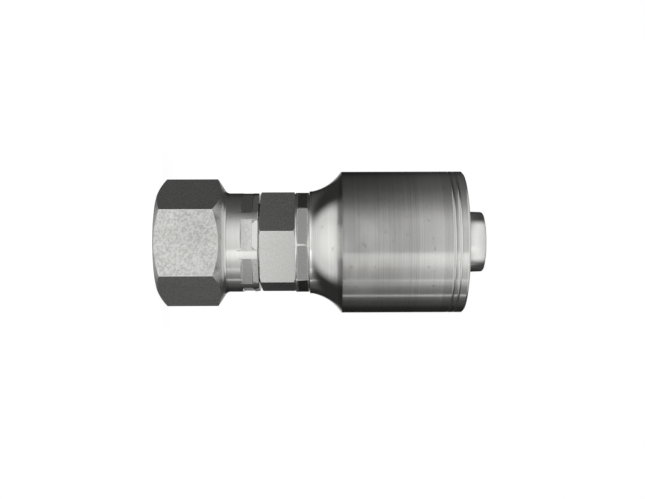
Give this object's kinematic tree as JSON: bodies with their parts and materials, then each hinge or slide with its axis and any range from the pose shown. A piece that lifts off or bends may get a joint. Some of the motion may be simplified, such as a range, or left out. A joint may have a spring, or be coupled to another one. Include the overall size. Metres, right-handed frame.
{
  "type": "crimp hose fitting",
  "caption": "Crimp-on hose end: a hexagonal swivel nut with a 37 degree seat inside, a stem with a hexagon and a barbed tail, and a plain crimp shell staked to the stem.",
  "frame": {"origin": "centre of the nut's flat front face, on which the fitting stands", "axes": "+Z along the common axis from the nut to the hose end, X through two opposite corners of the nut, Y through two opposite flats"},
  "size_m": [0.0282, 0.0282, 0.0642],
  "materials": {
    "nut_steel": "turned and lightly tumbled stainless steel, flats as rolled",
    "stem_steel": "turned stainless steel, matte flats",
    "shell_steel": "finely turned bright stainless steel"
  },
  "bodies": {
    "stem": {"hose_stem": "stem_steel", "crimp_shell": "shell_steel"},
    "nut": {"swivel_nut": "nut_steel"}
  },
  "joints": [
    {"name": "nut_swivel", "type": "hinge", "parent": "stem", "child": "nut", "pos_m": [0, 0, 0.0182], "axis": [0, 0, 1], "continuous": true}
  ]
}
